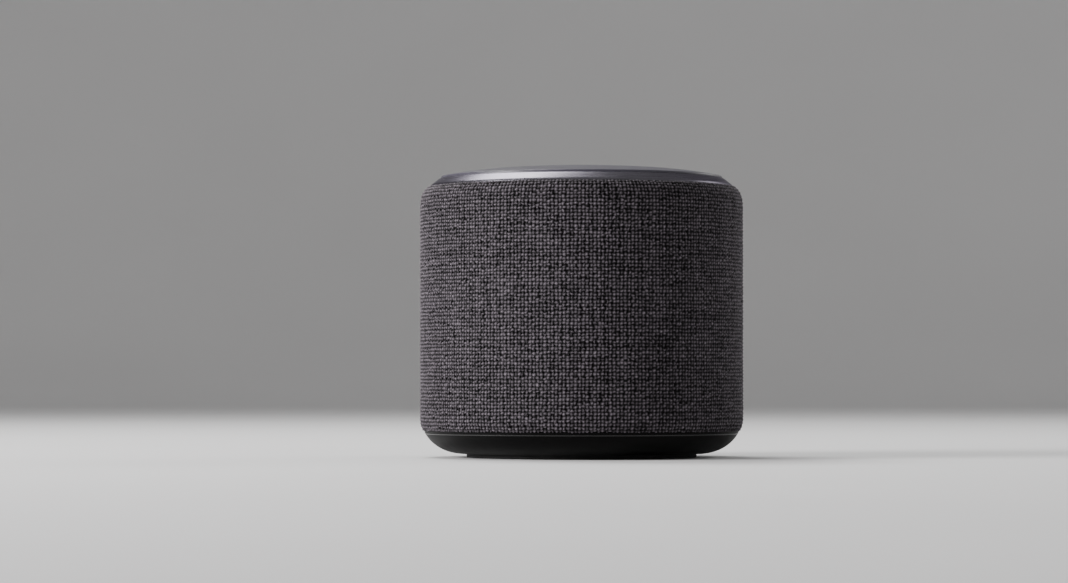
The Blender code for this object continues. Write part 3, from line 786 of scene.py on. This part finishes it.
def make_panel(finish):
    """The disc round the keys, each hole with a softened edge."""
    outline = [(0, PANEL_TOP), (22.9, PANEL_TOP, 0.25), (22.9, 103.3), (21.4, 103.3)]
    panel = turned("key_panel", outline + [(21.4, PANEL_UNDERSIDE), (0, PANEL_UNDERSIDE)])
    bore = KEY_RADIUS + GAP
    mouth = bore + 0.3
    hole = [(0, 104), (bore, 104), (bore, PANEL_TOP - 0.25), (mouth, PANEL_TOP + 0.05)]
    hole += [(mouth, 108), (0, 108)]
    drilled(panel, KEY_PLACES.values(), hole, 64)
    dress(panel, finish["cover"], "control_panel")


def face_height(distance):
    """Height of a key's dished face at a distance from its middle."""
    return KEY_FACE_HEIGHT + KEY_DISH_DEPTH * (distance / KEY_DISH_RADIUS) ** 2


def make_key(name, place, finish):
    """A key cap with a dished face, a flange that holds it under the panel and a short stem."""
    steps = 8
    radii = [KEY_DISH_RADIUS * step / steps for step in range(steps + 1)]
    face = [(radius, face_height(radius)) for radius in radii]
    side = [(5.2, 106.9, 0.25), (KEY_RADIUS, 106.6, 0.3), (KEY_RADIUS, 104.6), (6.4, 104.6), (6.4, 103.9)]
    stem = [(1.6, 103.9), (1.6, 103.4), (0, 103.4)]
    key = turned(f"cap_{name}", face + side + stem, 96, place)
    dress(key, finish["cover"], f"key_{name}", f"key_{name}")


def bar(mesh, place, start, end, width):
    """A thin bar with round ends, lying on a key's face."""
    thinnest_half = 0.02
    start = Vector(start)
    end = Vector(end)
    length = (end - start).length
    along = (end - start) / length
    side = Vector((-along.y, along.x))
    steps = 16
    sections = []
    for step in range(steps + 1):
        share = 0.5 - 0.5 * math.cos(math.pi * step / steps)
        to_end = min(share, 1 - share) * length
        inset = max(0.0, width / 2 - to_end)
        half = math.sqrt(max((width / 2) ** 2 - inset**2, thinnest_half**2))
        corners = []
        for offset, lift in ((-half, -MARK_SINK), (half, -MARK_SINK), (half, MARK_LIFT), (-half, MARK_LIFT)):
            spot = start + along * share * length + side * offset
            height = face_height(spot.length) + lift
            corner = ((place[0] + spot.x) * MM, (place[1] + spot.y) * MM, height * MM)
            corners.append(mesh.verts.new(corner))
        sections.append(corners)
    for first, second in zip(sections, sections[1:]):
        for edge in range(4):
            after = (edge + 1) % 4
            mesh.faces.new((first[edge], first[after], second[after], second[edge]))
    mesh.faces.new(sections[0])
    mesh.faces.new(sections[-1])


def make_bars(name, place, lines, finish):
    """A printed mark of straight strokes on a key."""
    mesh = bmesh.new()
    for start, end in lines:
        bar(mesh, place, start, end, MARK_WIDTH)
    dress(mesh_object(f"mark_{name}", mesh), finish["mark"], body=f"key_{name}")


def make_round_mark(name, place, inner, outer, finish):
    """A printed dot or circle on a key."""
    top = face_height(outer) + MARK_LIFT
    bottom = face_height(inner) - MARK_SINK
    made = turned(f"round_{name}", [(inner, bottom), (outer, bottom), (outer, top), (inner, top)], 48, place)
    dress(made, finish["mark"], body=f"key_{name}")


def make_keys(finish):
    """Four keys in a cross, with generic marks: plus, minus, a dot and a struck-out circle."""
    for name, place in KEY_PLACES.items():
        make_key(name, place, finish)
    level = ((-1.7, 0.0), (1.7, 0.0))
    make_bars("volume_up", KEY_PLACES["volume_up"], [level, ((0.0, -1.7), (0.0, 1.7))], finish)
    make_bars("volume_down", KEY_PLACES["volume_down"], [level], finish)
    make_bars("mic_mute", KEY_PLACES["mic_mute"], [((-1.9, -1.9), (1.9, 1.9))], finish)
    make_round_mark("mic_mute", KEY_PLACES["mic_mute"], 1.35, 1.75, finish)
    make_round_mark("action", KEY_PLACES["action"], 0.0, 0.85, finish)


# Sockets


def rounded_block(name, centre_x, size, corner, back, face):
    """A block with rounded upright corners seen from behind, from y = back to y = face."""
    steps = 8
    outline = []
    for turn, (sign_x, sign_z) in enumerate(((1, 1), (-1, 1), (-1, -1), (1, -1))):
        for step in range(steps + 1):
            angle = math.pi / 2 * (turn + step / steps)
            x = centre_x + sign_x * (size[0] / 2 - corner) + corner * math.cos(angle)
            z = SOCKET_HEIGHT + sign_z * (size[1] / 2 - corner) + corner * math.sin(angle)
            outline.append((x, z))
    mesh = bmesh.new()
    near = [mesh.verts.new((x * MM, back * MM, z * MM)) for x, z in outline]
    far = [mesh.verts.new((x * MM, face * MM, z * MM)) for x, z in outline]
    for step in range(len(outline)):
        after = (step + 1) % len(outline)
        mesh.faces.new((near[step], near[after], far[after], far[step]))
    mesh.faces.new(near)
    mesh.faces.new(far)
    return mesh_object(name, mesh)


def soften(made, width):
    """Rounds the sharp edges of a piece."""
    modifier = made.modifiers.new("soften", "BEVEL")
    modifier.width = width * MM
    modifier.segments = 3
    modifier.limit_method = "ANGLE"
    modifier.angle_limit = math.radians(50)
    graph = bpy.context.evaluated_depsgraph_get()
    data = bpy.data.meshes.new_from_object(made.evaluated_get(graph))
    made.modifiers.clear()
    made.data = data
    return made


def make_bezel(finish):
    """The panel round the sockets, curved with the side, with flared mouths."""
    back_radius = 57.3
    bezel = rounded_block("socket_panel", 0.0, BEZEL_SIZE, BEZEL_CORNER, 50.0, 66.0)
    curve = [(back_radius, 10.0), (BODY_RADIUS, 10.0), (BODY_RADIUS, 35.0), (back_radius, 35.0)]
    combined(bezel, turned("curve", curve, 256), "INTERSECT")
    soften(bezel, 0.3)
    for x, radius in ((POWER_X, 3.6), (AUDIO_X, 3.0)):
        flare = radius + 0.9
        mouth = [(0, 50), (radius, 50), (radius, 58.6), (flare, 59.9), (flare, 64), (0, 64)]
        combined(bezel, facing_back(turned("mouth", mouth, 64, (x, 0))))
    dress(bezel, finish["base"], "rear_bezel")


def make_power_jack(finish):
    """A barrel socket: plastic body, plated sleeve and centre pin."""
    body = rounded_block("power_socket", POWER_X, (11.0, 10.0), 0.8, SOCKET_BACK, SOCKET_FACE)
    bore = [(0, BORE_BOTTOM), (3.1, BORE_BOTTOM), (3.1, 54.8), (3.4, 55.3), (3.4, 60), (0, 60)]
    combined(body, facing_back(turned("bore", bore, 64, (POWER_X, 0))))
    dress(body, finish["base"], "power_jack")
    sleeve = [(2.85, BORE_BOTTOM + 0.1), (3.05, BORE_BOTTOM + 0.1), (3.05, 54.2), (2.85, 54.2)]
    pin = [(0, BORE_BOTTOM - 0.2), (1.0, BORE_BOTTOM - 0.2), (1.0, 53.0, 0.7), (0, 53.0)]
    for name, outline in (("power_sleeve", sleeve), ("power_pin", pin)):
        dress(facing_back(turned(name, outline, 48, (POWER_X, 0))), finish["steel"])


def make_audio_jack(finish):
    """A 3.5 mm socket with a plated ring at its mouth."""
    body = rounded_block("audio_socket", AUDIO_X, (7.0, 7.0), 0.8, SOCKET_BACK, SOCKET_FACE)
    bore = [(0, BORE_BOTTOM), (1.9, BORE_BOTTOM), (1.9, 60), (0, 60)]
    combined(body, facing_back(turned("bore", bore, 48, (AUDIO_X, 0))))
    dress(body, finish["base"], "audio_jack")
    collar = [(1.85, 55.25), (2.75, 55.25), (2.75, 55.7, 0.15), (2.3, 55.9, 0.2), (1.85, 55.6, 0.2)]
    dress(facing_back(turned("audio_collar", collar, 48, (AUDIO_X, 0))), finish["steel"])


# Floor, lights and camera


def make_floor(finish):
    """A pale paper floor that curves up into a wall all round, well away from the speaker."""
    flat_radius = 2600
    sweep = 1500
    wall_top = 2600
    outline = [(0, 0)]
    for degrees in range(0, 90, 6):
        angle = math.radians(degrees)
        outline.append((flat_radius + sweep * math.sin(angle), sweep - sweep * math.cos(angle)))
    outline.append((flat_radius + sweep, wall_top))
    floor = turned("studio_floor", outline, 96, closed=False)
    floor.data.materials.append(finish["floor"])
    floor.data.shade_smooth()


def make_softbox(name, place, size, power, colour=(1.0, 1.0, 1.0)):
    lamp = bpy.data.lights.new(name, "AREA")
    lamp.shape = "RECTANGLE"
    lamp.size = size
    lamp.size_y = size
    lamp.energy = power
    lamp.color = colour
    made = new_object(name, lamp)
    target = Vector((0.0, 0.0, 0.06))
    made.location = place
    made.rotation_euler = (target - made.location).to_track_quat("-Z", "Y").to_euler()


def make_lights():
    make_softbox("key_softbox", (-1.3, -0.6, 0.5), 0.7, 36.0, (1.0, 0.985, 0.995))
    make_softbox("top_softbox", (-0.36, 0.55, 1.12), 0.6, 13.0)
    make_softbox("fill_softbox", (1.3, -1.0, 0.6), 0.8, 1.6)
    make_softbox("back_softbox", (1.2, 0.9, 0.7), 0.7, 6.0)
    world = bpy.data.worlds.new("studio")
    world.use_nodes = True
    background = world.node_tree.nodes["Background"]
    background.inputs["Color"].default_value = (1.0, 1.0, 1.01, 1.0)
    background.inputs["Strength"].default_value = 0.26
    bpy.context.scene.world = world


def make_camera():
    """A long lens a little above the table, turned so that the speaker stands right of the middle."""
    distance = 23.5 * BODY_RADIUS * MM
    height = 0.029
    tilt_up = 1.32
    turn_left = 0.716
    lens = bpy.data.cameras.new("camera")
    lens.sensor_width = 36.0
    lens.lens = 128.09
    lens.clip_start = 0.05
    lens.clip_end = 50.0
    camera = new_object("camera", lens)
    camera.location = (0.0, -distance, height)
    camera.rotation_euler = (math.radians(90 + tilt_up), 0.0, math.radians(turn_left))
    bpy.context.scene.camera = camera


finish = make_materials()
finish_cad_nodes(finish)
make_sleeve(finish)
make_base(finish)
make_foot(finish)
make_ring(finish)
make_cover(finish)
make_light_ring(finish)
make_panel(finish)
make_keys(finish)
make_bezel(finish)
make_power_jack(finish)
make_audio_jack(finish)
make_floor(finish)
make_lights()
make_camera()
